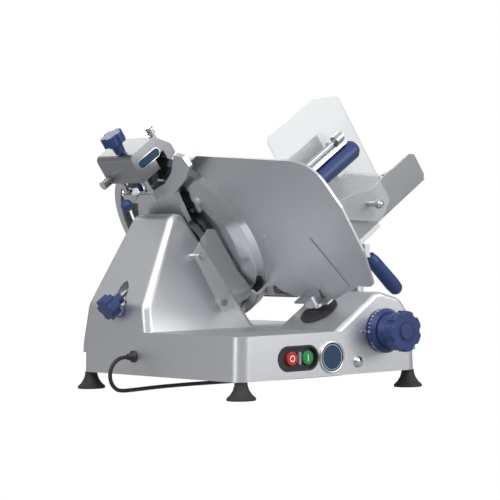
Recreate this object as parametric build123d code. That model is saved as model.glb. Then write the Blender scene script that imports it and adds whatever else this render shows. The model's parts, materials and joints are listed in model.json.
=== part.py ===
from build123d import *
import math
import os

# Gravity-feed deli slicer with a 300 mm blade.  Millimetres.
# X to the operator's right, Y away from the operator, Z up; the origin is on the floor,
# midway between the four feet.

# Driving dimensions: body
FOOT_X = 173.5          # foot centres, half spacing across
FOOT_Y = 196.0          # foot centres, half spacing front to back
FOOT_HEIGHT = 28.0
BASE_HALF_X = 185.5     # at the bottom rim
BASE_HALF_Y = 208.0
DECK_Z = 97.0
DRAFT = 2.5             # degrees, of the two side walls
CORNER_R = 20.0
WALL = 5.0
GAP = 0.3               # between parts on different bodies
RUN = 0.05              # radial play of a running fit
SPINDLE_R = 6.0

# Driving dimensions: blade and what is set out from it
TILT = 33.5             # degrees, of the blade's axis above the horizontal
BLADE_CENTRE = (-18.0, 110.0, 255.0)
BLADE_R = 150.0
TOWER_FACE = -36.0      # plane of the tower's right face, along the blade's axis
SLOPE_U = -147.0        # sloping top of the bulge, parallel to the blade's axis
GAUGE_OPENING = 16.0    # how far the gauge plate opens
KNOB_TURN = 300.0       # degrees of the thickness knob for that opening

# Driving dimensions: front panel
KNOB_X, KNOB_Z = 110.0, 94.0
SWITCH_X, SWITCH_Z = -68.0, 59.0
BADGE_X, BADGE_Z = 0.0, 57.5
DOME_X, DOME_Z = 55.5, 47.0
GLAND_Y, GLAND_Z = 62.0, 58.0
POST_Y = -120.0         # gauge plate's post

# Driving dimensions: carriage
TRAY_FRONT_Y = -60.0    # outer face of the tray's near wall, at rest
TRAY_WIDTH = 232.0
TRAY_FLOOR_U = -131.0   # top of the tray's floor
ARM_Y = -30.0           # middle of the carriage arm, at rest
RAIL_X, RAIL_Z = 150.0, 50.0
RAIL_R = 10.0
SLIDER_HALF = 17.0
SLOT_Z = (41.0, 59.0)
SLOT_Y = (-170.0, 115.0)

# Driving dimensions: cord
CORD_D = 6.5
COIL_CENTRE = (256.0, 112.0)
COIL_R = 34.0           # middle of the turns
COIL_WIDTH, COIL_HEIGHT = 20.0, 14.0

SIN, COS = math.sin(math.radians(TILT)), math.cos(math.radians(TILT))
# Blade frame: x up along the blade, y to the operator, z along the axis towards the food.
BLADE = Plane(origin=BLADE_CENTRE, x_dir=(-SIN, 0, COS), z_dir=(COS, 0, SIN))
FRONT_Y = -BASE_HALF_Y
POST_F = BLADE_CENTRE[1] - POST_Y       # the post, as a blade-frame y
nodes = {}


def keep(name, *shapes):
    """Stores a node, made of one solid or of several separate ones."""
    nodes[name] = shapes[0] if len(shapes) == 1 else Compound(list(shapes))


def on_blade(shape):
    return BLADE.location * shape


def front_of(y):
    """Blade-frame y of a world Y."""
    return BLADE_CENTRE[1] - y


def polygon(*points):
    return make_face(Polyline(*points, close=True))


def turned(*points):
    """Turns a (radius, height) outline about Z."""
    return revolve(make_face(Plane.XZ * Polyline(*points, close=True)), Axis.Z)


def disc(radius, low, high, hole=0.0):
    shape = Pos(0, 0, (low + high) / 2) * Cylinder(radius, high - low)
    if hole:
        shape -= Pos(0, 0, (low + high) / 2) * Cylinder(hole, high - low + 2)
    return shape


def block(x, y, z):
    """A box from three (low, high) pairs."""
    centre = [sum(pair) / 2 for pair in (x, y, z)]
    return Pos(*centre) * Box(x[1] - x[0], y[1] - y[0], z[1] - z[0])


def rod(start, end, radius, hole=0.0):
    """A round bar between two points."""
    start, end = Vector(*start), Vector(*end)
    place = Plane(origin=start, z_dir=end - start).location
    return place * disc(radius, 0, (end - start).length, hole)


def at_front(x, z, y=FRONT_Y):
    """A frame on the front face whose z points at the operator."""
    return Plane(origin=(x, y, z), x_dir=(1, 0, 0), z_dir=(0, -1, 0)).location


def sector(inner, outer, low, high, start, end):
    """Part of a ring, from angle start to end, counted from x towards y."""
    angles = [math.radians(start + (end - start) * k / 12) for k in range(13)]
    wedge = polygon((0, 0), *[(2 * outer * math.cos(a), 2 * outer * math.sin(a)) for a in angles])
    return disc(outer, low, high, inner) & Pos(0, 0, low - 1) * extrude(wedge, high - low + 2)


def lobed(radius, lobes, notch_r, notch_at, height):
    """A hand knob's head with scooped-out sides."""
    face = Circle(radius)
    for place in PolarLocations(notch_at, lobes):
        face -= place * Circle(notch_r)
    head = extrude(face, height)
    return fillet(head.edges().group_by(Axis.Z)[-1], 1.5)


def shrunk(face, amount):
    """A face with its edge moved inwards, whichever way round the edge runs."""
    return min((offset(face, sign * amount) for sign in (-1, 1)), key=lambda made: made.area)


# ---------------------------------------------------------------- casting

def wall_x(z, inset=0.0):
    return BASE_HALF_X - inset - (z - FOOT_HEIGHT) * math.tan(math.radians(DRAFT))


def plinth(inset):
    top = DECK_Z - inset
    low = FOOT_HEIGHT - (1 if inset else 0)
    face = Plane.XZ * polygon((-wall_x(low, inset), low), (wall_x(low, inset), low),
                              (wall_x(top, inset), top), (-wall_x(top, inset), top))
    half = BASE_HALF_Y - inset
    box = Pos(0, half, 0) * extrude(face, 2 * half)
    upright = [e for e in box.edges() if abs(e.tangent_at(0.5).Z) > 0.9]
    return fillet(upright, CORNER_R - inset)


def tower(inset):
    """The motor tower: its right face lies along the blade, its left face leans the other way."""
    low = 60.0
    foot_right = BLADE.from_local_coords(Vector(-190, 0, TOWER_FACE))
    side = polygon((-wall_x(low) + 0.4, low), (-wall_x(138) + 0.4, 138), (-95.5, 306.5),
                   (foot_right.X, foot_right.Z), (foot_right.X, low))
    crown = side.vertices().sort_by(Axis.Y)[-1]
    side = fillet(crown, 21)
    shoulder = [v for v in side.vertices() if abs(v.Y - 138) < 0.1]
    side = fillet(shoulder, 30)
    depth = polygon((24, low), (29, DECK_Z), (58, 292), (160, 292), (203, 108), (203, low))
    if inset:
        side, depth = shrunk(side, inset), shrunk(depth, inset)
    across = Pos(0, BASE_HALF_Y, 0) * extrude(Plane.XZ * side, 2 * BASE_HALF_Y)
    along = Pos(-BASE_HALF_X, 0, 0) * extrude(Plane.YZ * depth, 2 * BASE_HALF_X)
    return across & along


def bulge_profile():
    slope_low = BLADE.from_local_coords(Vector(SLOPE_U, 0, -72))
    slope_high = BLADE.from_local_coords(Vector(SLOPE_U, 0, 46))
    side = polygon((slope_low.X, slope_low.Z), (slope_high.X, slope_high.Z), (150, 143.5),
                   (wall_x(96) - 3, 104), (wall_x(60), 60), (slope_low.X, 60))
    ridge = [v for v in side.vertices() if v.Y > 140]
    side = fillet(ridge, 26)
    return fillet([v for v in side.vertices() if 100 < v.Y < 108], 30)


def bulge(inset):
    side = bulge_profile()
    if inset:
        side = shrunk(side, inset)
    near, far = FRONT_Y + inset, -62.0 - inset
    return Pos(0, far, 0) * extrude(Plane.XZ * side, far - near)


def edges_between(shape, low, high):
    """The edges whose middle lies in a box."""
    return [e for e in shape.edges()
            if all(low[k] < tuple(e.position_at(0.5))[k] < high[k] for k in range(3))]


def base_casting():
    hump = bulge(0)
    hump = fillet(edges_between(hump, (-20, FRONT_Y - 1, 98), (200, FRONT_Y + 1, 200)), 7)
    hump = fillet(edges_between(hump, (-20, -63, 98), (200, -61, 200)), 9)
    outer = plinth(0) + tower(0)
    left_edges = [e for e in outer.edges() if e.center().X < -90 and e.length > 60
                  and abs(e.tangent_at(0.5).Y) < 0.6 and e.center().Z > DECK_Z]
    outer = fillet(left_edges, 12) + hump
    boss = on_blade(disc(26, -205, -150)) & tower(1)
    pads = Part() + [Pos(x, y, 45) * Cylinder(13, 34) for x in (-FOOT_X, FOOT_X) for y in (-FOOT_Y, FOOT_Y)]
    pads &= plinth(1)
    shape = outer - plinth(WALL) - tower(WALL) - bulge(WALL)
    shape += boss
    shape += pads
    shape -= on_blade(disc(21.5, -260, -192) + disc(14, -200, -158) + disc(4.4, -170, -140))
    shape -= on_blade(disc(30, -60, -20))
    for x in (-FOOT_X, FOOT_X):
        for y in (-FOOT_Y, FOOT_Y):
            shape -= Pos(x, y, 40) * Cylinder(4.0, 40)
    recess = at_front(SWITCH_X, SWITCH_Z) * extrude(SlotOverall(84, 40), -30, both=True)
    shape -= recess
    for x, z, radius in ((KNOB_X, KNOB_Z, SPINDLE_R + RUN), (DOME_X, DOME_Z, 4.5)):
        shape -= at_front(x, z) * Cylinder(radius, 30)
    shape -= rod((-200, GLAND_Y, GLAND_Z), (-170, GLAND_Y, GLAND_Z), 7.0)
    shape -= block((170, 200), SLOT_Y, SLOT_Z)
    shape -= on_blade(block((SLOPE_U - 12, SLOPE_U + 8), (POST_F - 8, POST_F + 8), (-38, -4)))
    return shape


def bottom_cover():
    plate = block((-178.5, 178.5), (-201, 201), (FOOT_HEIGHT + 0.5, FOOT_HEIGHT + 3))
    for x in (-FOOT_X, FOOT_X):
        for y in (-FOOT_Y, FOOT_Y):
            plate -= Pos(x, y, FOOT_HEIGHT) * Cylinder(14, 10)
    for k in range(8):
        plate -= Pos(-60, -70 + 20 * k, FOOT_HEIGHT) * Box(90, 6, 10)
    return plate


def foot():
    return turned((0, 0), (22, 0), (23, 1.5), (22.4, 4), (17, 9), (12.5, 16), (10.4, 23),
                  (10, 28), (0, 28)) - disc(3.9, 8, 40)


keep("base_casting", base_casting())
keep("bottom_cover", bottom_cover())
FOOT_SPOTS = [(sx * FOOT_X, sy * FOOT_Y) for sx in (-1, 1) for sy in (-1, 1)]
keep("feet", *[Pos(x, y, 0) * foot() for x, y in FOOT_SPOTS])
keep("foot_studs", *[Pos(x, y, 34) * Cylinder(3.85, 50) for x, y in FOOT_SPOTS])

# ---------------------------------------------------------------- drive

PULLEY = (-102.0, -88.0)     # along the blade's axis
MOTOR_U = -105.0
BIG_R, SMALL_R = 38.0, 16.0
BELT_T = 3.0
SHAFT_R, MOTOR_SHAFT_R = 15.0, 7.0
TIE_R = 3.9


def blade():
    """Hollow-ground knife: flat hub, dished web and a bevelled rim."""
    knife = turned((21, -18), (98, -18), (112, -16.4), (138, -7.5), (149.8, -0.7), (150, -0.1),
                   (139, -1.2), (112, -12), (98, -14), (21, -14))
    for place in PolarLocations(30, 4):
        knife -= place * Pos(0, 0, -16) * Cylinder(2.6, 8)
    return knife


def blade_hub():
    """Hollow shaft with the flange and screws that hold the knife."""
    shaft = turned((5.5, -110), (SHAFT_R, -110), (SHAFT_R, -24), (40, -24), (40, -18.05), (20.9, -18.05),
                   (20.9, -13), (5.5, -13))
    for place in PolarLocations(30, 4):
        shaft += place * disc(2.5, -19, -13.6)
    return shaft


def pulley(radius, bore):
    groove = 0.8
    low, high = PULLEY
    return turned((bore, low), (radius + 2, low), (radius + 2, low + 1.5), (radius - groove, low + 2.5),
                  (radius - groove, high - 2.5), (radius + 2, high - 1.5), (radius + 2, high), (bore, high))


def bearing(low):
    races = disc(18.5, low, low + 10, SHAFT_R + 0.02) + disc(26, low, low + 10, 22.5)
    return races + disc(22.5, low + 1.5, low + 8.5, 18.5)


def belt():
    """Flat belt round both pulleys."""
    low, high = PULLEY[0] + 3.2, PULLEY[1] - 3.2
    inner = (BIG_R - 0.8 + GAP, SMALL_R - 0.8 + GAP)
    outer = tuple(r + BELT_T for r in inner)

    def band(r_big, r_small):
        lean = math.asin((r_big - r_small) / -MOTOR_U)
        big = [(-r_big * math.sin(lean), s * r_big * math.cos(lean)) for s in (1, -1)]
        small = [(MOTOR_U - r_small * math.sin(lean), s * r_small * math.cos(lean)) for s in (-1, 1)]
        return Circle(r_big) + Pos(MOTOR_U, 0) * Circle(r_small) + polygon(*big, *small)

    return Pos(0, 0, low) * extrude(band(*outer) - band(*inner), high - low)


def motor():
    body = disc(42, -172, -108)
    body = fillet(body.edges(), 4)
    for k in range(7):
        body -= disc(50, -166 + 8 * k, -163 + 8 * k, 40)
    return Pos(MOTOR_U, 0, 0) * (body - disc(MOTOR_SHAFT_R + RUN, -130, -100))


def motor_plate():
    """Plate and four posts that hang the motor from the tower's face."""
    plate = block((MOTOR_U - 50, MOTOR_U + 55), (-56, 56), (-108, -104))
    plate -= Pos(MOTOR_U, 0, -106) * Cylinder(24, 10)
    for u in (MOTOR_U - 40, MOTOR_U + 45):
        for f in (-46, 46):
            plate += Pos(u, f, 0) * disc(6, -104.5, TOWER_FACE - WALL)
    return plate


def bearing_housing():
    barrel = disc(29.8, -84, -36, 26) + disc(35.5, -36, -32, 22) + disc(27, -36.5, -34, 22)
    for place in PolarLocations(31, 6):
        barrel -= place * Pos(0, 0, -34) * Cylinder(1.6, 6)
    return barrel


keep("blade", on_blade(blade()))
keep("blade_hub", on_blade(blade_hub()))
keep("blade_pulley", on_blade(pulley(BIG_R, SHAFT_R)))
keep("bearing_housing", on_blade(bearing_housing()))
keep("blade_bearings", on_blade(bearing(-82)), on_blade(bearing(-47)))
keep("drive_belt", on_blade(belt()))
keep("motor", on_blade(motor()))
keep("motor_plate", on_blade(motor_plate()))
keep("motor_pulley", on_blade(Pos(MOTOR_U, 0, 0) * (pulley(SMALL_R, MOTOR_SHAFT_R - 1)
                                                   + disc(MOTOR_SHAFT_R, -128, -86))))

# ---------------------------------------------------------------- guards


def guard_ring():
    """Fixed ring round the rim, with a turned-in back lip and three lugs to the tower."""
    ring = sector(153, 158, -22, -2, 134, 328) + sector(143, 156, -25, -21.9, 134, 328)
    for angle in (158, 185, 208):
        a = math.radians(angle)
        ring += Pos(148 * math.cos(a), 148 * math.sin(a), 0) * disc(7, TOWER_FACE, -22)
    return ring


def knife_cover():
    plate = disc(104, -10.5, -6.5)
    plate = fillet(plate.edges().group_by(Axis.Z)[-1], 2)
    return plate + disc(14, -6.6, -3) - disc(TIE_R + RUN, -12, -6)


def tie_knob():
    head = lobed(20, 6, 6.5, 22.5, 19)
    head = Pos(0, 0, -205) * Rot(180, 0, 0) * head
    return head + disc(9, -206, -188) - disc(TIE_R, -204.5, -180)


DEFLECTOR = Plane(origin=(BLADE_CENTRE[0], 22.0, BLADE_CENTRE[2]), x_dir=(COS, 0, SIN), z_dir=(0, -1, 0))
DEFLECTOR_SCREWS = ((-68, -2, -26), (-74, -90, -16))      # along, up, depth of the spacer


def slice_deflector():
    """Clear sheet in front of the tower."""
    sheet = polygon((-86, -103), (-80, 13), (-34, 28), (-22, 20), (-22, -60), (-15, -98), (-15, -108),
                    (-30, -112))
    sheet = fillet([v for v in sheet.vertices() if v.X < -70], 6)
    sheet = extrude(sheet, 2.5)
    for x, y, depth in DEFLECTOR_SCREWS:
        sheet -= Pos(x, y, 0) * disc(2.2, -1, 4)
    return DEFLECTOR.location * sheet


def deflector_screw(x, y, depth):
    """Screw head, shank and the spacer behind the sheet, cut off at the tower's face."""
    screw = disc(5, 2.5, 5) + disc(2.2, -1, 3) + disc(6, depth - 10, 0)
    return DEFLECTOR.location * Pos(x, y, 0) * screw - tower(0)


keep("guard_ring", on_blade(guard_ring()))
keep("knife_cover", on_blade(knife_cover()))
keep("tie_rod", on_blade(disc(TIE_R, -204.5, -6.4)))
keep("tie_knob", on_blade(tie_knob()))
keep("slice_deflector", slice_deflector())
keep("deflector_screws", *[deflector_screw(*spot) for spot in DEFLECTOR_SCREWS])

# ---------------------------------------------------------------- front panel and cord exit

BUTTONS = (-11.0, 21.0)
BUTTON_R, STEM_R = 11.0, 4.0
TRAVEL = 3.0
panel = at_front(SWITCH_X, SWITCH_Z)


def switch_bezel():
    frame = extrude(SlotOverall(83.6, 39.6), -9) - Pos(0, 0, 2) * extrude(SlotOverall(77, 33), -8)
    for dx in BUTTONS:
        frame -= Pos(dx, 0, -5) * Cylinder(BUTTON_R + GAP, 12)
    return panel * (frame - Pos(5, 0, -5) * Box(4.8, 19.6, 12))


def push_button(dx):
    cap = extrude(Circle(BUTTON_R), 6)
    cap = fillet(cap.edges().group_by(Axis.Z)[-1], 1.2)
    return panel * Pos(dx, 0, -7) * (cap + disc(STEM_R, -16, 0))


def contact_block():
    shape = block((-30, 38), (-16, 16), (-60, -9))
    for dx in BUTTONS:
        shape -= Pos(dx, 0, 0) * (disc(STEM_R + RUN, -32, -8) + disc(BUTTON_R + 0.5, -9 - TRAVEL, -8))
    return panel * shape


def pilot_lens():
    lens = block((2.6, 7.4), (-9.8, 9.8), (-9, -1))
    return panel * fillet(lens.edges().group_by(Axis.Z)[-1], 1)


def dome_screw():
    screw = turned((0, -12), (4.45, -12), (4.45, 0), (9.2, 0), (8.6, 2.4), (6.2, 4.4), (3, 5.5), (0, 5.8))
    return at_front(DOME_X, DOME_Z) * (screw - Pos(0, 0, 5.4) * Box(14, 1.8, 2.4))


keep("switch_bezel", switch_bezel())
keep("stop_button", push_button(BUTTONS[0]))
keep("start_button", push_button(BUTTONS[1]))
keep("pilot_lens", pilot_lens())
keep("contact_block", contact_block())
badge_outline = ((0, 0), (25, 0), (25, 2.4), (22.6, 2.4), (22.6, 1.8), (0, 1.8))
keep("badge_plate", at_front(BADGE_X, BADGE_Z) * turned(*badge_outline))
keep("dome_screw", dome_screw())

GLAND_X = -wall_x(GLAND_Z) - 0.45
GLAND_END = 13.0
gland = Plane(origin=(GLAND_X, GLAND_Y, GLAND_Z), z_dir=(-1, 0, 0)).location
keep("cord_gland", gland * turned((CORD_D / 2, -14), (6.9, -14), (6.9, 0), (9.5, 0), (9.5, 3), (6.2, 5),
                                  (5, 12), (4.4, GLAND_END), (CORD_D / 2, GLAND_END)))

# ---------------------------------------------------------------- thickness control

SPINDLE_END_Y = -132.0
FOLLOWER_R = 5.0
CAM_R0 = 20.0
CAM_Y = (-156.0, -148.0)
POST_N = -13.0
GUIDE_U = -170.0
GUIDE_R = 8.0
knob_axis = at_front(KNOB_X, KNOB_Z)


def dial_skirt():
    return knob_axis * turned((SPINDLE_R, 1.5), (35.5, 1.5), (35.5, 9), (31, 16), (SPINDLE_R, 16))


def knob_grip():
    """Round face, lobed waist."""
    waist = turned((SPINDLE_R, 0), (27, 0), (22, 12), (23, 22), (SPINDLE_R, 22))
    head = lobed(32.5, 7, 8, 37, 17)
    cap = fillet(disc(13, 38.9, 41).edges().group_by(Axis.Z)[-1], 1)
    return knob_axis * Pos(0, 0, 16) * (waist + Pos(0, 0, 21.9) * head + cap - disc(SPINDLE_R, -2, 30))


def index_spindle():
    """Spindle and its spiral plate, which pushes the follower away from the knob's axis."""
    count = 61
    edge = []
    for k in range(count):
        turn = KNOB_TURN * k / (count - 1)
        radius = CAM_R0 + GAUGE_OPENING * turn / KNOB_TURN
        angle = math.radians(180 + TILT - turn)
        edge.append((radius * math.cos(angle), radius * math.sin(angle)))
    plate = make_face(Spline(*edge) + Line(edge[-1], edge[0]))
    plate = Pos(KNOB_X, CAM_Y[1], KNOB_Z) * extrude(Plane.XZ * plate, CAM_Y[1] - CAM_Y[0])
    return plate + rod((KNOB_X, SPINDLE_END_Y, KNOB_Z), (KNOB_X, FRONT_Y - 46, KNOB_Z), SPINDLE_R)


def gauge_outline():
    """The gauge plate seen along the blade's axis; x up, y to the operator."""
    arc_r = 153.5
    start, end = math.radians(25), math.radians(131)
    first, middle, last = [(arc_r * math.cos(a), arc_r * math.sin(a))
                           for a in (start, (start + end) / 2, end)]
    top = Polyline(first, (151, 66), (152, 90), (135, 311))
    nose = Spline((135, 311), (129, 351), (113, 379), (89, 390), (46, 399.5))
    near = Polyline((46, 399.5), (-36, 398), (-92, 384))
    corner = Spline((-92, 384), (-101, 377), (-103, 366), (-104, 340))
    low = Polyline((-104, 340), (-110, 325), (-128, 275), (-129, 262), (-125, 176), (-112, 147), (-104, 142),
                   (-106, 134), (-121, 128), (-122, 107), (-108, 119), last)
    return make_face(top + nose + near + corner + low + ThreePointArc(last, middle, first))


def gauge_plate():
    """Plate with a stiffening flute and crease on its back and a lip along its lower edge."""
    plate = Pos(0, 0, -4.5) * extrude(gauge_outline(), 4)
    plate += Pos(0, 0, -6.4) * extrude(polygon((-9, 291), (-107, 279), (-103, 325)), 2)
    plate += Pos(0, 0, -5.4) * extrude(polygon((-5, 179), (-7, 184), (-62, 170), (-60, 165)), 1)
    for span in ((186, 212), (248, 268)):
        plate += block((-130, -127), span, (-18, -4.4))
    return plate


def gauge_post():
    """Post and the foot that is screwed to the plate's back."""
    foot_block = block((-134, -112), (POST_F - 17, POST_F + 17), (-24, -4.5))
    foot_block = fillet(foot_block.edges().filter_by(Axis.X), 5)
    return foot_block + rod((GUIDE_U + 11, POST_F, POST_N), (-124, POST_F, POST_N), 6.0)


def post_seal():
    profile = turned((6, SLOPE_U + GAP), (32, SLOPE_U + GAP), (32, SLOPE_U + 2), (26, SLOPE_U + 4),
                     (14, SLOPE_U + 5.5), (10, SLOPE_U + 9), (6, SLOPE_U + 9))
    return Pos(0, POST_F, POST_N) * Rot(0, 90, 0) * profile


cam_axis = BLADE.to_local_coords(Vector(KNOB_X, CAM_Y[0], KNOB_Z))
follower_n = cam_axis.Z - CAM_R0 - FOLLOWER_R - 0.6


def gauge_slide():
    """Slide on the guide rod, with an arm down to the follower that rides on the spiral."""
    shape = block((GUIDE_U - 11, GUIDE_U + 11), (POST_F - 12, POST_F + 12), (POST_N - 22, POST_N + 22))
    shape += block((cam_axis.X - 8, GUIDE_U - 10), (POST_F - 12, POST_F + 12),
                   (follower_n - 8, follower_n + 8))
    near, far = front_of(CAM_Y[0]), front_of(CAM_Y[1])
    pin = rod((0, POST_F, 0), (0, far, 0), 3.0) + rod((0, far, 0), (0, near, 0), FOLLOWER_R)
    shape += Pos(cam_axis.X, 0, follower_n) * pin
    return shape - Pos(GUIDE_U, POST_F, POST_N) * Cylinder(GUIDE_R + 0.04, 60)


def gauge_guide():
    shape = rod((GUIDE_U, POST_F, -70), (GUIDE_U, POST_F, 32), GUIDE_R)
    for span in ((-70, -62), (24, 32)):
        shape += block((GUIDE_U - 13, SLOPE_U - WALL - 0.05), (POST_F - 14, POST_F + 14), span)
    return shape


keep("dial_skirt", dial_skirt())
keep("knob_grip", knob_grip())
keep("index_spindle", index_spindle())
keep("gauge_plate", on_blade(gauge_plate()))
keep("gauge_post", on_blade(gauge_post()))
keep("post_seal", on_blade(post_seal()))
keep("gauge_slide", on_blade(gauge_slide()))
keep("gauge_guide", on_blade(gauge_guide()))

# ---------------------------------------------------------------- carriage

TRAY_F = front_of(TRAY_FRONT_Y)      # near wall's outer face, blade frame
FLOOR_T = 3.0
TRAY_UNDER = TRAY_FLOOR_U - FLOOR_T
ROD_U, ROD_F, ROD_R = -95.0, TRAY_F - 16, 6.0
GRIP_TOP = Vector(214, TRAY_FRONT_Y, 211)
GRIP_END = Vector(282, TRAY_FRONT_Y, 148)
GRIP_LENGTH = (GRIP_END - GRIP_TOP).length
grip_axis = (GRIP_END - GRIP_TOP).normalized()


def tray_near_wall():
    end = 352
    top = Spline((-30, 8), (-36, 60), (-48, 130), (-58, 175), (-70, 214), (-79, 236), (-79, 262), (-79, 300))
    edge = top + Polyline((-79, 300), (-79, end - 6), (-86, end + 2), (-126, end + 2), (TRAY_UNDER, end - 6),
                          (TRAY_UNDER, 8), (-30, 8))
    # this plane's x runs up along the blade and its y along the blade's axis
    place = Plane(origin=(0, TRAY_F, 0), x_dir=(1, 0, 0), z_dir=(0, -1, 0))
    return extrude(place * make_face(edge), 4)


def tray():
    """Ribbed floor, near wall, far fence and the ends that hold the pusher's rod."""
    low_f, high_f = TRAY_F - TRAY_WIDTH, TRAY_F

    def far_end(f):
        return 350 + 30 * (high_f - f) / TRAY_WIDTH

    plan = Plane(origin=(TRAY_UNDER, 0, 0), x_dir=(0, 1, 0), z_dir=(1, 0, 0))
    outline = polygon((low_f, 4.5), (high_f, 4.5), (high_f, far_end(high_f)), (low_f, far_end(low_f)))
    shape = extrude(plan * outline, FLOOR_T) + tray_near_wall()
    shape += block((TRAY_UNDER, -40), (low_f, low_f + 4), (4.5, 360))
    for k in range(24):
        f = low_f + 12 + k * 9.2
        shape += block((TRAY_FLOOR_U - 0.1, TRAY_FLOOR_U + 1.6), (f - 1.5, f + 1.5), (10, far_end(f) - 8))
    for span in ((12, 20), (292, 300)):
        shape += block((ROD_U - 10, ROD_U + 10), (ROD_F - 10, TRAY_F - 3.9), span)
    return shape - Pos(ROD_U, ROD_F, 156) * Cylinder(ROD_R, 300)


def carriage_arm():
    """Upright outside the base, its foot through the side slot, its head and the handle's stem."""
    inner, outer = 197.0, 211.0
    upright = block((inner, outer), (ARM_Y - 24, ARM_Y + 24), (SLOT_Z[0] + 2, 250))
    upright = fillet(upright.edges().filter_by(Axis.Z), 4)
    shape = upright + block((RAIL_X + SLIDER_HALF, inner + 4), (ARM_Y - 22, ARM_Y + 22),
                            (SLOT_Z[0] + 2, SLOT_Z[1] - 2))
    f = front_of(ARM_Y)
    shape += on_blade(block((TRAY_UNDER - 12, TRAY_UNDER), (f - 24, f + 24), (150, 225)))
    brace = polygon((inner + 2, 170), (outer - 1, 150), (236, 262), (222, 262))
    shape += Pos(0, ARM_Y + 5, 0) * extrude(Plane.XZ * brace, 10)
    shape += block((inner + 3, outer + 0.2), (TRAY_FRONT_Y - 9, ARM_Y - 20), (207, 229))
    shape -= on_blade(block((TRAY_UNDER, 0), (-100, 300), (80, 300)))
    return shape + rod(tuple(GRIP_TOP - grip_axis * 8), tuple(GRIP_END - grip_axis * 6.5), 4.0)


def carriage_slider():
    """Slider with bronze-lined ends on the round rail."""
    shape = block((RAIL_X - SLIDER_HALF, RAIL_X + SLIDER_HALF), (ARM_Y - 28, ARM_Y + 28),
                  (RAIL_Z - 14, RAIL_Z + 14))
    shape -= rod((RAIL_X, ARM_Y - 40, RAIL_Z), (RAIL_X, ARM_Y + 40, RAIL_Z), RAIL_R + 0.04)
    return shape - rod((RAIL_X, ARM_Y - 10, RAIL_Z), (RAIL_X, ARM_Y + 10, RAIL_Z), RAIL_R + 2)


def carriage_handle():
    grip = turned((4, 4), (9.5, 4), (12, 16), (12.8, GRIP_LENGTH - 18), (11.5, GRIP_LENGTH - 5),
                  (8, GRIP_LENGTH), (0, GRIP_LENGTH), (0, GRIP_LENGTH - 6.5), (4, GRIP_LENGTH - 6.5))
    return Plane(origin=GRIP_TOP, z_dir=grip_axis).location * grip


keep("tray", on_blade(tray()))
keep("carriage_arm", carriage_arm())
keep("carriage_slider", carriage_slider())
keep("carriage_rail", rod((RAIL_X, -203, RAIL_Z), (RAIL_X, 203, RAIL_Z), RAIL_R))
keep("carriage_handle", carriage_handle())
keep("pusher_rod", on_blade(rod((ROD_U, ROD_F, 12), (ROD_U, ROD_F, 300), ROD_R)))

# ---------------------------------------------------------------- pusher and hand guard

GUARD_F = TRAY_F + 15.0                   # hand guard's inner face
GUARD_T = 4.0
GRIP_U, GRIP_F = 21.0, front_of(-105)
WEB_N = (98.0, 108.0)
PIN_U, PIN_N = -86.0, 203.0
GUARD_STANDS = (120, 186)


def upright_sheet(points, low_f, high_f, radius):
    """A sheet that stands along the axis, from (along, up) points."""
    place = Plane(origin=(0, low_f, 0), x_dir=(0, 0, 1), z_dir=(0, 1, 0))
    face = polygon(*points)
    face = fillet(face.vertices(), radius)
    return extrude(place * face, high_f - low_f)


def pusher_arm():
    """Sleeve on the rod, the web over the near wall and the frame that carries the grip."""
    web = polygon((-106, 138), (-106, 162), (-84, 162), (28, 160), (28, 205), (6, 205), (6, 225), (46, 225),
                  (46, 136), (-44, 136), (-44, 100), (-84, 100), (-84, 138))
    shape = Pos(0, 0, WEB_N[0]) * extrude(web, WEB_N[1] - WEB_N[0])
    shape += block((-80, -50), (104, 134), (94, WEB_N[0] + 1))
    shape += Pos(ROD_U, ROD_F, 0) * disc(10.5, 98, 158)
    shape -= Pos(ROD_U, ROD_F, 0) * disc(ROD_R + RUN, 80, 180)
    shape += block((40, 46), (GRIP_F - 10, GRIP_F + 10), (WEB_N[0], 196))
    shape += Pos(0, 0, 183) * extrude(Pos(52, GRIP_F - 2) * RectangleRounded(14, 16, 6), 17)
    shape += rod((50, GRIP_F - 4, WEB_N[0]), (50, GRIP_F - 4, 204), 3.2)
    for n in GUARD_STANDS:
        shape += rod((43, GUARD_F + GUARD_T, n), (43, GRIP_F - 9, n), 5.0)
    return shape + rod((GRIP_U, GRIP_F, WEB_N[1] - 2), (GRIP_U, GRIP_F, 206), 5.0)


def pusher_plate():
    """Toothed plate that holds the food against the blade."""
    plate = block((-126, -10), (-20, 140), (88, 94))
    for k in range(11):
        for u in (-116, -94, -72, -50, -28):
            plate += Pos(u, -12 + k * 14.4, 84.6) * Rot(180, 0, 0) * Cone(3.0, 0.6, 7)
    return plate


def hand_guard():
    sheet = upright_sheet([(82, 123), (196, 123), (250, 98), (250, -108), (212, -127), (82, -30)],
                          GUARD_F, GUARD_F + GUARD_T, 13)
    return sheet - block((28, 46), (GUARD_F - 5, GUARD_F + GUARD_T + 5), WEB_N)


def pusher_grip():
    grip = turned((5, 112), (14.5, 112), (15.5, 116), (16.5, 160), (16.5, 204), (12.5, 211), (0, 212.5),
                  (0, 206), (5, 206))
    return Pos(GRIP_U, GRIP_F, 0) * grip


def guard_pin():
    """Clamp pin with a ball head, on the hand guard's outer face."""
    pin = rod((PIN_U, GUARD_F + GUARD_T, PIN_N), (PIN_U, GUARD_F + 30, PIN_N), 4.5)
    return pin + Pos(PIN_U, GUARD_F + 32, PIN_N) * Sphere(8.0)


keep("pusher_arm", on_blade(pusher_arm()))
keep("pusher_plate", on_blade(pusher_plate()))
keep("hand_guard", on_blade(hand_guard()))
keep("pusher_grip", on_blade(pusher_grip()))
keep("guard_pin", on_blade(guard_pin()))

# ---------------------------------------------------------------- sharpener

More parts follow.
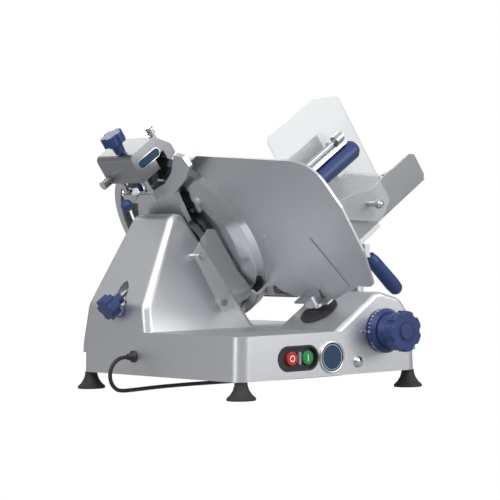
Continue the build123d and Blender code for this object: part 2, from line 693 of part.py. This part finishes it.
POST_SPOTS = (-50.0, 14.0)        # across, of the two posts the sharpener rides on
POST_ALONG = -47.0
KNOB_SPOT = (-45.0, -12.0)        # along and across, of the clamp knob
STONE_UP = 136.0
TRUING_SPOT = (155.0, 8.0)        # up and across
STUB_N = 12.0                     # along, of the truing stone's push button
BUTTON_SPOT = (144.0, -61.0)      # up and across
LEVER_SPOT = (1.0, -50.0)         # across and along
SHELF_U = 112.0
COVER_F = (-70.0, 25.0)


def flat_plate(points, low, high, radius):
    """A plate parallel to the blade, from (up, across) points."""
    face = polygon(*points)
    face = fillet(face.vertices(), radius)
    return Pos(0, 0, low) * extrude(face, high - low)


def sharpener_bracket():
    plate = flat_plate([(41, -60), (62, -62), (92, -50), (110, -34), (112, 20), (118, 44), (140, 78),
                        (172, 108), (168, 126), (148, 132), (128, 108), (100, 58), (41, 50)],
                       TOWER_FACE, -27.5, 3)
    shelf = block((96, SHELF_U), (-58, 22), (-56, TOWER_FACE + 1))
    shelf = fillet([e for e in shelf.edges().filter_by(Axis.X) if e.center().Z < -50], 5)
    hook = block((153, 166), (104, 126), (-28.5, -8))
    pocket = block((60, 70), (-28, 6), (-30.5, -26))
    pivot = Pos(0, LEVER_SPOT[0], LEVER_SPOT[1]) * Rot(0, 90, 0) * disc(3 + RUN, 99, 115)
    return plate + shelf + hook - pocket - pivot


def cover_profile():
    side = polygon((-58, 136), (-58, 185), (2, 187), (25, 158), (25, 142), (12, 136))
    return fillet([v for v in side.vertices() if v.Y > 150], 9)


def upright_bore(spot_f, spot_n, radius, low, high):
    """A hole or bar along the up direction."""
    return Pos(0, spot_f, spot_n) * Rot(0, 90, 0) * disc(radius, low, high)


def sharpener_cover():
    """Hollow cover, open below, with a cross bar inside that slides on the posts."""
    width = COVER_F[1] - COVER_F[0]
    place = Plane(origin=(0, COVER_F[0], 0), x_dir=(0, 0, 1), z_dir=(0, 1, 0))
    shape = extrude(place * cover_profile(), width)
    inside = shrunk(cover_profile(), 3.5) + Pos(-20, 134) * Rectangle(68, 20)
    place = Plane(origin=(0, COVER_F[0] + 3.5, 0), x_dir=(0, 0, 1), z_dir=(0, 1, 0))
    shape -= extrude(place * inside, width - 7)
    shape -= block((120, 158), (COVER_F[0] - 5, COVER_F[1] + 5), (-16, 6))
    shape += block((137, 151), (COVER_F[0] + 3, COVER_F[1] - 3), (-55, -38))
    shape += Pos(STONE_UP, 0, 0) * disc(4, -39, -20)
    shape += block((137, 141), (-4, 4), (-39, -37))
    shape += Pos(*TRUING_SPOT, 0) * disc(3, 5, 23)
    for f in POST_SPOTS:
        shape -= upright_bore(f, POST_ALONG, 5 + RUN, 120, 181)
    shape -= upright_bore(KNOB_SPOT[1], KNOB_SPOT[0], 4 + RUN, 120, 195)
    shape -= upright_bore(TRUING_SPOT[1], STUB_N, 4 + RUN, 160, 200)
    return shape - Pos(*BUTTON_SPOT, 0) * disc(4 + RUN, -70, -30)


def sharpener_knob():
    head = Pos(0, 0, 206) * lobed(19.5, 5, 7, 22.5, 17)
    neck = turned((0, 187.5), (8.5, 187.5), (9.5, 200), (12, 207), (0, 207))
    return Pos(0, KNOB_SPOT[1], KNOB_SPOT[0]) * Rot(0, 90, 0) * (head + neck + disc(4, 114, 190))


def grooved_head(radius, low, high):
    """Knurled push button."""
    shape = disc(radius, low, high)
    for level in (0.3, 0.6):
        at = low + level * (high - low)
        shape -= disc(radius + 2, at - 0.8, at + 0.8, radius - 1)
    return shape


def sharpener_lever():
    shape = rod((3, 0, 0), (3, 0, -38), 2.4)
    shape += Rot(0, 90, 0) * (disc(6, GAP, 6) + disc(3, -11, 2))
    return Pos(SHELF_U, *LEVER_SPOT) * shape


keep("sharpener_bracket", on_blade(sharpener_bracket()))
keep("sharpener_posts", *[on_blade(upright_bore(f, POST_ALONG, 5, SHELF_U, 177)) for f in POST_SPOTS])
keep("sharpener_cover", on_blade(sharpener_cover()))
keep("sharpener_knob", on_blade(sharpener_knob()))
keep("grinding_stone", on_blade(Pos(STONE_UP, 0, 0) * disc(20, -36, -22, 4 + RUN)))
keep("truing_stone", on_blade(Pos(*TRUING_SPOT, 0) * disc(11, 6, 12, 3 + RUN)))
keep("grinding_button", on_blade(Pos(*BUTTON_SPOT, 0) * (disc(4, -62.5, -42) + grooved_head(7.5, -76, -62))))
keep("truing_button", on_blade(Pos(0, TRUING_SPOT[1], STUB_N) * Rot(0, 90, 0) * (
    disc(4, 169.7, 187.5) + grooved_head(6.6, 187, 199))))
keep("sharpener_lever", on_blade(sharpener_lever()))
lever_ball = Pos(0, 0, -42) * Sphere(10) - disc(2.4, -38, 0)
keep("lever_ball", on_blade(Pos(SHELF_U + 3, *LEVER_SPOT) * lever_ball))

# ---------------------------------------------------------------- cord

CORD_Z = CORD_D / 2 + 0.25
DROP_R = (GLAND_Z - CORD_Z) / 2          # the cord drops from the gland in a half circle
DROP_STEP = 30                           # degrees turned at each corner of the route


def cord_route():
    """Corner points of the cord: out of the gland, down, and across the floor to the coil."""
    centre_x = GLAND_X - GLAND_END - 5
    corner_r = DROP_R / math.cos(math.radians(DROP_STEP / 2))
    points = [(GLAND_X - GLAND_END + 1, GLAND_Y, GLAND_Z)]
    for k in range(6):
        angle = math.radians(90 + DROP_STEP / 2 + DROP_STEP * k)
        points.append((centre_x + corner_r * math.cos(angle), GLAND_Y + 1.2 * k,
                       CORD_Z + DROP_R + corner_r * math.sin(angle)))
    points += [(-176, 74, CORD_Z), (-120, 90, CORD_Z), (-62, 97, CORD_Z), (-4, 94, CORD_Z)]
    points += [(54, 86, CORD_Z), (112, 77, CORD_Z), (170, 71.5, CORD_Z), (222, 70.5, CORD_Z)]
    points += [(COIL_CENTRE[0] - 6, 71.1, CORD_Z)]
    return points


def cord_tube():
    points = [Vector(*p) for p in cord_route()]
    radii = []
    for before, here, after in zip(points, points[1:], points[2:]):
        run = min((here - before).length, (after - here).length)
        turn = (here - before).get_angle(after - here)
        radii.append(0.45 * run / math.tan(math.radians(turn) / 2))
    path = FilletPolyline(*points, radius=radii)
    start = Plane(origin=points[0], z_dir=points[1] - points[0])
    tube = sweep(start * Circle(CORD_D / 2), path=path)
    section = math.pi * CORD_D ** 2 / 4
    print("cord tube", round(path.length, 1), "mm, smallest radius", round(min(radii), 1),
          "volume over section times length", round(tube.volume / (section * path.length), 4))
    return tube


PLUG_X, PLUG_Y, PLUG_Z = COIL_CENTRE[0] + 39.2, COIL_CENTRE[1] + 15.5, CORD_Z + 6.9
plug_line = Plane(origin=(PLUG_X, PLUG_Y, PLUG_Z), x_dir=(-1, 0, 0), z_dir=(0, 1, 0)).location


def power_plug():
    end = RectangleRounded(26, 18, 6)
    waist = RectangleRounded(20, 13, 5)
    sections = [Circle(5), Pos(0, 0, 14) * waist, Pos(0, 0, 28) * end, Pos(0, 0, 36) * end]
    return plug_line * loft(sections)


keep("power_cord", cord_tube())
coil = disc(COIL_R + COIL_WIDTH / 2, 0, COIL_HEIGHT, COIL_R - COIL_WIDTH / 2)
keep("cord_coil", Pos(*COIL_CENTRE, 0.2) * coil)
keep("power_plug", power_plug())
keep("plug_pins", *[plug_line * Pos(x, 2, 46) * Box(1.5, 6.3, 20) for x in (-6.35, 6.35)],
     plug_line * Pos(0, -5.5, 0) * disc(2.4, 36, 57))

os.makedirs("parts", exist_ok=True)
for name, shape in nodes.items():
    export_step(shape, f"parts/{name}.step")
print(len(nodes), "nodes")
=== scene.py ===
# %% [markdown]
# # Deli meat slicer
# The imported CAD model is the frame: its nodes keep their place and their joints.
# This script gives every node a finish, adds the small pieces the CAD leaves out and sets the view.

# %%
import json
import math

import bmesh
import bpy
from mathutils import Matrix, Vector


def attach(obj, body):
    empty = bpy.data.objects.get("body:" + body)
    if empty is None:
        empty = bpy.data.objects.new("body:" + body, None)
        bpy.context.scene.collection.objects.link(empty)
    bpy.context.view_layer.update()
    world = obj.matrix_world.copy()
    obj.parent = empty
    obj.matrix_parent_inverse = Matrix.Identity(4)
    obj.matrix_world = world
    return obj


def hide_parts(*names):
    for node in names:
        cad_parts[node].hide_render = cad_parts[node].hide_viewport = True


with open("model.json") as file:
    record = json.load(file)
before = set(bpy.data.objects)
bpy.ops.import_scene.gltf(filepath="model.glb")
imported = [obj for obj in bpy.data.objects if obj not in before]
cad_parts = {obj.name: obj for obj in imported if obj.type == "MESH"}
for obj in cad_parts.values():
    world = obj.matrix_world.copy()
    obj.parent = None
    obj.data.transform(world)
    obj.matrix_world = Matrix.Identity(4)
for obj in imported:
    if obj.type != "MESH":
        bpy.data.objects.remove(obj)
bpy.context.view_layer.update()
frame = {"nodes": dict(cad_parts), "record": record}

# %% [markdown]
# ## Measures
# Metres in the row frame: +Z up, -Y towards the operator.
# The blade frame has its origin on the blade's axis: x runs up along the blade, y to the operator
# and z along the axis.

# %%
MM = 0.001
TILT = math.radians(33.5)
BLADE_CENTRE = Vector((-0.018, 0.110, 0.255))
UP = Vector((-math.sin(TILT), 0, math.cos(TILT)))
ALONG = Vector((math.cos(TILT), 0, math.sin(TILT)))
NEAR = Vector((0, -1, 0))

FRONT_Y = -0.208
SWITCH = (-0.068, 0.059)
BUTTONS = (-0.011, 0.021)
BADGE = (0.0, 0.0575)
KNOB = (0.110, 0.094)

GLAND = Vector((-0.18464, 0.062, 0.058))
GLAND_END = 0.013
CORD_D = 0.0065
CORD_Z = 0.0035
COIL_CENTRE = (0.256, 0.112)
COIL_TURNS = 4.25
TURN_PITCH = 0.0067


def matrix_from(x, y, z, origin):
    """The 4x4 with these axes and origin."""
    m = Matrix((x, y, z)).transposed().to_4x4()
    m.translation = origin
    return m


BLADE = matrix_from(UP, NEAR, ALONG, BLADE_CENTRE)


def front_panel(x, z, y=FRONT_Y):
    """A frame on the front face whose z points at the operator."""
    return matrix_from(Vector((1, 0, 0)), Vector((0, 0, 1)), Vector((0, -1, 0)), Vector((x, y, z)))


# %% [markdown]
# ## Finishes
# A colour, a roughness and a fine grain for each material slot. The grain is noise in object
# coordinates, so it travels with its piece. The tray, the pusher plate and the sharpener's cover
# get a darker copy of the plate aluminium, which is painted shade.

# %%
def finish_material(name, colour, metallic=0.0, rough=0.5, grain=(60, 60, 60), grain_rough=0.0, bump=0.0,
                    shade=0.0, clear=0.0, coat=0.0, anisotropic=0.0):
    """A principled material; grain is the noise scale along the three axes, clear the share seen through."""
    m = bpy.data.materials.new(name)
    m.use_nodes = True
    tree = m.node_tree
    p = tree.nodes["Principled BSDF"]
    p.inputs["Base Color"].default_value = (*colour, 1)
    p.inputs["Metallic"].default_value = metallic
    p.inputs["Roughness"].default_value = rough
    p.inputs["Coat Weight"].default_value = coat
    p.inputs["Coat Roughness"].default_value = 0.15
    p.inputs["Anisotropic"].default_value = anisotropic
    if clear:
        p.inputs["Alpha"].default_value = 1 - clear
    m.diffuse_color = (*colour, 1)
    if not (grain_rough or bump or shade):
        return m
    where = tree.nodes.new("ShaderNodeTexCoord")
    scale = tree.nodes.new("ShaderNodeMapping")
    scale.inputs["Scale"].default_value = grain
    noise = tree.nodes.new("ShaderNodeTexNoise")
    noise.inputs["Scale"].default_value = 1.0
    noise.inputs["Detail"].default_value = 5.0
    tree.links.new(where.outputs["Object"], scale.inputs["Vector"])
    tree.links.new(scale.outputs["Vector"], noise.inputs["Vector"])
    if grain_rough:
        spread = tree.nodes.new("ShaderNodeMapRange")
        spread.inputs["To Min"].default_value = rough - grain_rough
        spread.inputs["To Max"].default_value = rough + grain_rough
        tree.links.new(noise.outputs["Fac"], spread.inputs["Value"])
        tree.links.new(spread.outputs["Result"], p.inputs["Roughness"])
    if shade:
        mix = tree.nodes.new("ShaderNodeMix")
        mix.data_type = "RGBA"
        mix.inputs["A"].default_value = (*[c * (1 - shade) for c in colour], 1)
        mix.inputs["B"].default_value = (*[min(1, c * (1 + shade)) for c in colour], 1)
        tree.links.new(noise.outputs["Fac"], mix.inputs["Factor"])
        tree.links.new(mix.outputs["Result"], p.inputs["Base Color"])
    if bump:
        relief = tree.nodes.new("ShaderNodeBump")
        relief.inputs["Strength"].default_value = bump
        relief.inputs["Distance"].default_value = 0.0003
        tree.links.new(noise.outputs["Fac"], relief.inputs["Height"])
        tree.links.new(relief.outputs["Normal"], p.inputs["Normal"])
    return m


def turned_metal(name, colour, rough, ring_scale, axis_frame):
    """Metal turned on a lathe: fine rings about an axis, in object coordinates."""
    m = finish_material(name, colour, metallic=1.0, rough=rough, anisotropic=0.5)
    tree = m.node_tree
    p = tree.nodes["Principled BSDF"]
    where = tree.nodes.new("ShaderNodeTexCoord")
    turn = tree.nodes.new("ShaderNodeMapping")
    turn.vector_type = "POINT"
    back = axis_frame.inverted()
    turn.inputs["Location"].default_value = back.translation
    turn.inputs["Rotation"].default_value = back.to_euler()
    wave = tree.nodes.new("ShaderNodeTexWave")
    wave.wave_type = "RINGS"
    wave.rings_direction = "Z"
    wave.inputs["Scale"].default_value = ring_scale
    wave.inputs["Distortion"].default_value = 0.6
    wave.inputs["Detail"].default_value = 3.0
    spread = tree.nodes.new("ShaderNodeMapRange")
    spread.inputs["To Min"].default_value = rough - 0.06
    spread.inputs["To Max"].default_value = rough + 0.08
    tree.links.new(where.outputs["Object"], turn.inputs["Vector"])
    tree.links.new(turn.outputs["Vector"], wave.inputs["Vector"])
    tree.links.new(wave.outputs["Fac"], spread.inputs["Value"])
    tree.links.new(spread.outputs["Result"], p.inputs["Roughness"])
    return m


finishes = {
    "body_alu": finish_material("body_alu", (0.72, 0.73, 0.75), 1.0, 0.40,
                                (220, 220, 220), 0.06, 0.10, 0.03),
    "plate_alu": finish_material("plate_alu", (0.57, 0.58, 0.60), 1.0, 0.38,
                                 (30, 900, 30), 0.06, 0.06, 0.02),
    "blade_steel": turned_metal("blade_steel", (0.46, 0.47, 0.49), 0.15, 260, BLADE),
    "steel": finish_material("steel", (0.50, 0.51, 0.52), 1.0, 0.32, (300, 300, 300), 0.06),
    "chrome": finish_material("chrome", (0.58, 0.59, 0.60), 1.0, 0.18),
    "clear_sheet": finish_material("clear_sheet", (0.62, 0.66, 0.67), 0.0, 0.08, clear=0.66),
    "blue_plastic": finish_material("blue_plastic", (0.018, 0.040, 0.150), 0.0, 0.40,
                                    (400, 400, 400), 0.05, 0.08),
    "black_rubber": finish_material("black_rubber", (0.018, 0.018, 0.019), 0.0, 0.62,
                                    (500, 500, 500), 0.08, 0.15),
    "black_plastic": finish_material("black_plastic", (0.022, 0.022, 0.024), 0.0, 0.42,
                                     (500, 500, 500), 0.05, 0.10),
    "red_button": finish_material("red_button", (0.52, 0.02, 0.02), 0.0, 0.33, (300, 300, 300), 0.04),
    "green_button": finish_material("green_button", (0.015, 0.25, 0.06), 0.0, 0.33, (300, 300, 300), 0.04),
    "pilot": finish_material("pilot", (0.30, 0.27, 0.38), 0.0, 0.25, coat=0.4),
    "badge_blue": finish_material("badge_blue", (0.006, 0.036, 0.085), 0.0, 0.55),
    "stone": finish_material("stone", (0.060, 0.075, 0.062), 0.0, 0.88,
                             (1500, 1500, 1500), 0.08, 0.9, 0.35),
    "motor_paint": finish_material("motor_paint", (0.05, 0.055, 0.06), 0.0, 0.45,
                                   (200, 200, 200), 0.05, 0.10),
    "cord_jacket": finish_material("cord_jacket", (0.018, 0.018, 0.020), 0.0, 0.52,
                                   (400, 400, 400), 0.05, 0.12),
    "pin_brass": finish_material("pin_brass", (0.62, 0.48, 0.24), 1.0, 0.28, (300, 300, 300), 0.05),
}
white_mark = finish_material("white_mark", (0.85, 0.86, 0.86), 0.0, 0.5)
silver_rim = finish_material("silver_rim", (0.80, 0.81, 0.82), 1.0, 0.22)

# A darker copy of plate_alu: painted shade on the tray, the pusher plate and the sharpener's cover.
alu_painted_shade = finish_material("alu_painted_shade", (0.30, 0.305, 0.315), 1.0, 0.42, (30, 900, 30), 0.06, 0.06, 0.02)
PAINTED_SHADE_PARTS = ("tray", "pusher_plate", "sharpener_cover")

for part in frame["record"]["subparts"]:
    obj = frame["nodes"][part["node"]]
    paint = alu_painted_shade if part["node"] in PAINTED_SHADE_PARTS else finishes[part["material_slot"]]
    if obj.material_slots:
        for held in obj.material_slots:
            held.material = paint
    else:
        obj.data.materials.append(paint)


# %% [markdown]
# ## Building small pieces
# Every piece is baked in its place in the row frame, then rides on its body.

# %%
def add_mesh(name, mesh, paint, body):
    obj = bpy.data.objects.new(name, mesh)
    bpy.context.scene.collection.objects.link(obj)
    mesh.materials.append(paint)
    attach(obj, body)
    return obj


def piece(name, build, place, paint, body, smooth=False):
    """build(bm) fills a bmesh in a local frame; place puts it in the row frame."""
    bm = bmesh.new()
    build(bm)
    bmesh.ops.recalc_face_normals(bm, faces=bm.faces)
    bmesh.ops.transform(bm, matrix=place, verts=bm.verts)
    mesh = bpy.data.meshes.new(name)
    bm.to_mesh(mesh)
    bm.free()
    for face in mesh.polygons:
        face.use_smooth = smooth
    return add_mesh(name, mesh, paint, body)


def lathe(outline, steps=64):
    """Turns a closed (radius, height) outline in metres about z."""
    def build(bm):
        verts = [bm.verts.new((r, 0, z)) for r, z in outline]
        edges = [bm.edges.new((verts[k], verts[(k + 1) % len(verts)])) for k in range(len(verts))]
        bmesh.ops.spin(bm, geom=verts + edges, cent=(0, 0, 0), axis=(0, 0, 1), angle=math.tau, steps=steps,
                       use_duplicate=False)
        bmesh.ops.remove_doubles(bm, verts=bm.verts, dist=1e-6)
    return build


def box_shape(half_x, half_y, height, centre=(0, 0)):
    def build(bm):
        bmesh.ops.create_cube(bm, size=1.0)
        bmesh.ops.scale(bm, vec=(2 * half_x, 2 * half_y, height), verts=bm.verts)
        bmesh.ops.translate(bm, vec=(centre[0], centre[1], height / 2), verts=bm.verts)
    return build


def stadium(length, width, height, arc=12):
    """A flat bar with round ends, along x."""
    def build(bm):
        radius, reach = width / 2, (length - width) / 2
        ring = []
        for side in (1, -1):
            for k in range(arc + 1):
                a = math.pi * (k / arc - 0.5) + (0 if side > 0 else math.pi)
                ring.append(bm.verts.new((side * reach + radius * math.cos(a), radius * math.sin(a), 0)))
        face = bm.faces.new(ring)
        made = bmesh.ops.extrude_face_region(bm, geom=[face])
        tops = [v for v in made["geom"] if isinstance(v, bmesh.types.BMVert)]
        bmesh.ops.translate(bm, vec=(0, 0, height), verts=tops)
    return build


def screw_head(radius, height, across):
    """Low round head with a round socket sunk in its top."""
    return lathe([(0, 0), (radius, 0), (radius, height * 0.7), (radius * 0.88, height), (across, height),
                  (across, height * 0.35), (0, height * 0.35)], 32)


def text_mesh(name, words, height, place, paint, body, depth=0.00012):
    """Flat lettering, centred on place."""
    curve = bpy.data.curves.new(name, "FONT")
    curve.body = words
    curve.size = height
    curve.extrude = depth
    curve.align_x = "CENTER"
    curve.align_y = "CENTER"
    source = bpy.data.objects.new(name + "_source", curve)
    bpy.context.scene.collection.objects.link(source)
    bpy.context.view_layer.update()
    mesh = bpy.data.meshes.new_from_object(source.evaluated_get(bpy.context.evaluated_depsgraph_get()))
    bpy.data.objects.remove(source)
    mesh.materials.clear()
    mesh.transform(place)
    return add_mesh(name, mesh, paint, body)


# %% [markdown]
# ## Front panel
# A plain ring round the badge, an O and an I on the buttons.

# %%
badge = front_panel(*BADGE)
piece("badge_rim", lathe([(0.0222, 0.0018), (0.0222, 0.0026), (0.0228, 0.0030), (0.0246, 0.0030),
                          (0.0252, 0.0024), (0.0252, 0.0001), (0.0247, 0.0001)], 96),
      badge, silver_rim, "base", smooth=True)
piece("badge_line", lathe([(0.0192, 0.00178), (0.0197, 0.00178), (0.0197, 0.00195), (0.0192, 0.00195)], 96),
      badge, white_mark, "base")
panel = front_panel(*SWITCH)
CAP_FACE = -0.001
piece("stop_mark", lathe([(0.0036, 0), (0.0050, 0), (0.0050, 0.00012), (0.0036, 0.00012)], 48),
      panel @ Matrix.Translation((BUTTONS[0], 0, CAP_FACE)), white_mark, "stop")
piece("start_mark", box_shape(0.0007, 0.0052, 0.00012),
      panel @ Matrix.Translation((BUTTONS[1], 0, CAP_FACE)), white_mark, "start")
for dx, body in zip(BUTTONS, ("stop", "start")):
    piece(f"{body}_edge", lathe([(0.0094, 0), (0.0099, 0), (0.0099, 0.00008), (0.0094, 0.00008)], 48),
          panel @ Matrix.Translation((dx, 0, CAP_FACE)), finishes["black_plastic"], body)

# %% [markdown]
# ## Thickness dial
# Numbers 0 to 15 round the skirt, with a tick after each and one place left blank.

# %%
SKIRT_R = 0.0355
NUMBER_HEIGHT = 0.0072
DIAL_PLACES = 17
POINTER_GAP = 0.042
knob = front_panel(*KNOB)
for k in range(DIAL_PLACES - 1):
    turn = Matrix.Rotation(-math.tau * k / DIAL_PLACES, 4, "Z")
    on_skirt = knob @ turn @ matrix_from(Vector((0, -1, 0)), Vector((0, 0, 1)), Vector((-1, 0, 0)),
                                         Vector((-SKIRT_R - 0.00002, 0, 0.0053)))
    text_mesh(f"dial_number_{k}", str(k), NUMBER_HEIGHT, on_skirt, white_mark, "thickness_knob")
    half = knob @ Matrix.Rotation(-math.tau * (k + 0.5) / DIAL_PLACES, 4, "Z")
    piece(f"dial_tick_{k}", box_shape(0.0001, 0.0003, 0.004),
          half @ Matrix.Translation((-SKIRT_R, 0, 0.0045)), white_mark, "thickness_knob")
piece("knob_cap_groove", lathe([(0.0150, 0.0567), (0.0156, 0.0567), (0.0156, 0.0570), (0.0150, 0.0570)], 64),
      knob, finishes["black_plastic"], "thickness_knob")
piece("dial_pointer", stadium(0.010, 0.003, 0.0012),
      front_panel(KNOB[0] - POINTER_GAP, KNOB[1]), silver_rim, "base")

# %% [markdown]
# ## Sharpener
# A blank oblong plate on the cover's near face and the screws of its bracket.

# %%
cover_face = BLADE @ matrix_from(Vector((0, 0, 1)), Vector((1, 0, 0)), Vector((0, 1, 0)),
                                 Vector((0.163, 0.025, -0.026)))
piece("label_rim", stadium(0.050, 0.0165, 0.0010), cover_face, silver_rim, "sharpener")
piece("label_face", stadium(0.0475, 0.0140, 0.0013), cover_face, finishes["badge_blue"], "sharpener")
BRACKET_SCREWS = ((0.048, -0.042), (0.048, 0.036), (0.088, 0.030))      # up the blade, towards the operator
POST_NUTS = (-0.050, 0.014)                                             # towards the operator
for k, (u, f) in enumerate(BRACKET_SCREWS):
    piece(f"bracket_screw_{k}", screw_head(0.0040, 0.0030, 0.0019),
          BLADE @ Matrix.Translation((u, f, -0.0275)), finishes["chrome"], "base")
for k, f in enumerate(POST_NUTS):
    piece(f"post_nut_{k}", lathe([(0.0051, 0), (0.0085, 0), (0.0085, 0.004), (0.0051, 0.004)], 6),
          BLADE @ matrix_from(Vector((0, 1, 0)), Vector((0, 0, 1)), Vector((1, 0, 0)),
                              Vector((0.112, f, -0.047))),
          finishes["chrome"], "base")

# %% [markdown]
# ## Hand guard and tray
# Button-head screws on the guard, one on its bar, and bolts on the carriage arm.

# %%
GUARD_FACE = 0.189
BAR_FACE = 0.213
GUARD_SCREWS = ((-0.008, 0.096), (0.020, 0.100))       # up the blade, along its axis
ARM_SIDE_X, ARM_MIDDLE_Y = 0.211, -0.030
ARM_BOLT_HALF, ARM_BOLT_LOW, ARM_BOLT_STEP = 0.012, 0.060, 0.100
toward_operator = matrix_from(Vector((0, 0, 1)), Vector((1, 0, 0)), Vector((0, 1, 0)), Vector((0, 0, 0)))
for k, (u, n) in enumerate(GUARD_SCREWS):
    piece(f"guard_screw_{k}", screw_head(0.0050, 0.0030, 0.0022),
          BLADE @ Matrix.Translation((u, GUARD_FACE, n)) @ toward_operator,
          finishes["chrome"], "pusher")
piece("bar_screw", screw_head(0.0046, 0.0028, 0.0020),
      BLADE @ Matrix.Translation((0.052, BAR_FACE, 0.200)),
      finishes["chrome"], "pusher")
for k in range(2):
    for side in (-1, 1):
        piece(f"arm_bolt_{k}_{side}", screw_head(0.0055, 0.0040, 0.0026),
              matrix_from(Vector((0, 1, 0)), Vector((0, 0, 1)), Vector((1, 0, 0)),
                          Vector((ARM_SIDE_X, ARM_MIDDLE_Y + side * ARM_BOLT_HALF,
                                  ARM_BOLT_LOW + ARM_BOLT_STEP * k))),
              finishes["steel"], "carriage")

# %% [markdown]
# ## Power cord
# Out of the gland, down in a half circle, across the floor under the base and into a coil of two layers
# beside the right-hand side, where the plug lies.

# %%
drop_r = (GLAND.z - CORD_Z) / 2
turn_x = GLAND.x - GLAND_END - 0.005
corner_r = drop_r / math.cos(math.radians(15))
route = [Vector((GLAND.x - GLAND_END + 0.001, GLAND.y, GLAND.z))]
for k in range(6):
    a = math.radians(105 + 30 * k)
    route.append(Vector((turn_x + corner_r * math.cos(a), GLAND.y + 0.0012 * k,
                         CORD_Z + drop_r + corner_r * math.sin(a))))
FLOOR_ROUTE = ((-176, 74), (-120, 90), (-62, 97), (-4, 94), (54, 86),
               (112, 77), (170, 71.5), (222, 70.5), (250, 71.1))
for x, y in FLOOR_ROUTE:
    route.append(Vector((x * MM, y * MM, CORD_Z)))
OUTER_R = 0.0409
STEPS = 24                  # points in a turn
LOWER_TURNS = 2.0
CROSSING = 0.5              # turns taken to climb to the upper layer
LAYER_RISE = 0.0069
for k in range(1, int(COIL_TURNS * STEPS) + 1):
    t = k / STEPS
    down, across = min(t, LOWER_TURNS), min(max(t - LOWER_TURNS, 0), CROSSING)
    radius = OUTER_R - TURN_PITCH * down + TURN_PITCH * max(t - LOWER_TURNS - CROSSING, 0)
    a = -math.pi / 2 + math.tau * t
    route.append(Vector((COIL_CENTRE[0] + radius * math.cos(a), COIL_CENTRE[1] + radius * math.sin(a),
                         CORD_Z + across / CROSSING * LAYER_RISE)))
end_x = route[-1].x
for y in (0.1180, 0.1240, 0.1290):
    route.append(Vector((end_x, y, CORD_Z + LAYER_RISE)))

line = bpy.data.curves.new("power_cord_line", "CURVE")
line.dimensions = "3D"
line.bevel_depth = CORD_D / 2
line.bevel_resolution = 6
line.resolution_u = 6
line.use_fill_caps = True
spline = line.splines.new("NURBS")
spline.points.add(len(route) - 1)
for point, where in zip(spline.points, route):
    point.co = (*where, 1.0)
spline.order_u = 3
spline.use_endpoint_u = True
cord = bpy.data.objects.new("power_cord_run", line)
bpy.context.scene.collection.objects.link(cord)
line.materials.append(finishes["cord_jacket"])
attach(cord, "base")
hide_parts("power_cord", "cord_coil")
cord_length = sum((b - a).length for a, b in zip(route, route[1:]))
print("cord length along its corners", round(cord_length, 4))

# %% [markdown]
# ## Camera, lights and background
# A long lens from the front left, a white surround and soft lights from above and from both sides.

# %%
CAMERA_AT = Vector((-2.4063, -2.9504, 0.2939))
CAMERA_AIM = Vector((0.6334, 0.7736, -0.0183)).normalized()
CAMERA_ROLL = math.radians(1.02)
side = CAMERA_AIM.cross(Vector((0, 0, 1))).normalized()
top = side.cross(CAMERA_AIM)
right_hand = side * math.cos(CAMERA_ROLL) - top * math.sin(CAMERA_ROLL)
upward = top * math.cos(CAMERA_ROLL) + side * math.sin(CAMERA_ROLL)
camera_data = bpy.data.cameras.new("camera")
camera_data.lens = 168.0
camera_data.sensor_width = 36.0
camera_data.clip_end = 20
camera = bpy.data.objects.new("camera", camera_data)
camera.matrix_world = matrix_from(right_hand, upward, -CAMERA_AIM, CAMERA_AT)
scene = bpy.context.scene
scene.collection.objects.link(camera)
scene.camera = camera


def area_light(name, at, aim, size, power, colour=(1, 1, 1)):
    lamp = bpy.data.lights.new(name, "AREA")
    lamp.shape = "RECTANGLE"
    lamp.size, lamp.size_y = size
    lamp.energy = power
    lamp.color = colour
    obj = bpy.data.objects.new(name, lamp)
    obj.location = at
    obj.rotation_euler = (Vector(aim) - Vector(at)).to_track_quat("-Z", "Y").to_euler()
    scene.collection.objects.link(obj)


area_light("key", (-1.2, -1.2, 1.9), (0, 0, 0.15), (2.2, 1.6), 30)
area_light("left_strip", (-1.9, 0.2, 0.8), (0, 0, 0.2), (0.7, 1.6), 9)
area_light("front_fill", (0.9, -2.0, 0.9), (0.05, 0, 0.15), (1.6, 1.2), 22)
area_light("rim", (0.6, 1.5, 1.4), (0, 0, 0.25), (1.2, 0.6), 8)

world = bpy.data.worlds.new("studio")
scene.world = world
world.use_nodes = True
tree = world.node_tree
tree.nodes.clear()
out = tree.nodes.new("ShaderNodeOutputWorld")
mix = tree.nodes.new("ShaderNodeMixShader")
seen = tree.nodes.new("ShaderNodeBackground")
seen.inputs["Color"].default_value = (1, 1, 1, 1)
surround = tree.nodes.new("ShaderNodeBackground")
rays = tree.nodes.new("ShaderNodeLightPath")
where = tree.nodes.new("ShaderNodeTexCoord")
parts = tree.nodes.new("ShaderNodeSeparateXYZ")
ramp = tree.nodes.new("ShaderNodeValToRGB")
stops = ramp.color_ramp.elements
stops[0].position, stops[0].color = 0.0, (0.30, 0.30, 0.31, 1)
stops[1].position, stops[1].color = 1.0, (0.80, 0.80, 0.81, 1)
for at, level in ((0.40, 0.62), (0.50, 0.20), (0.62, 0.30), (0.80, 0.60)):
    stop = stops.new(at)
    stop.color = (level, level, level * 1.02, 1)
rescale = tree.nodes.new("ShaderNodeMapRange")
rescale.inputs["From Min"].default_value = -1
tree.links.new(where.outputs["Generated"], parts.inputs["Vector"])
tree.links.new(parts.outputs["Z"], rescale.inputs["Value"])
tree.links.new(rescale.outputs["Result"], ramp.inputs["Fac"])
tree.links.new(ramp.outputs["Color"], surround.inputs["Color"])
tree.links.new(rays.outputs["Is Camera Ray"], mix.inputs["Fac"])
tree.links.new(surround.outputs["Background"], mix.inputs[1])
tree.links.new(seen.outputs["Background"], mix.inputs[2])
tree.links.new(mix.outputs["Shader"], out.inputs["Surface"])

scene.render.engine = "CYCLES"
scene.cycles.samples = 96
scene.cycles.use_denoising = True
scene.cycles.transmission_bounces = 12
scene.cycles.transparent_max_bounces = 12
scene.render.resolution_x = 1000
scene.render.resolution_y = 1000
scene.view_settings.view_transform = "Standard"
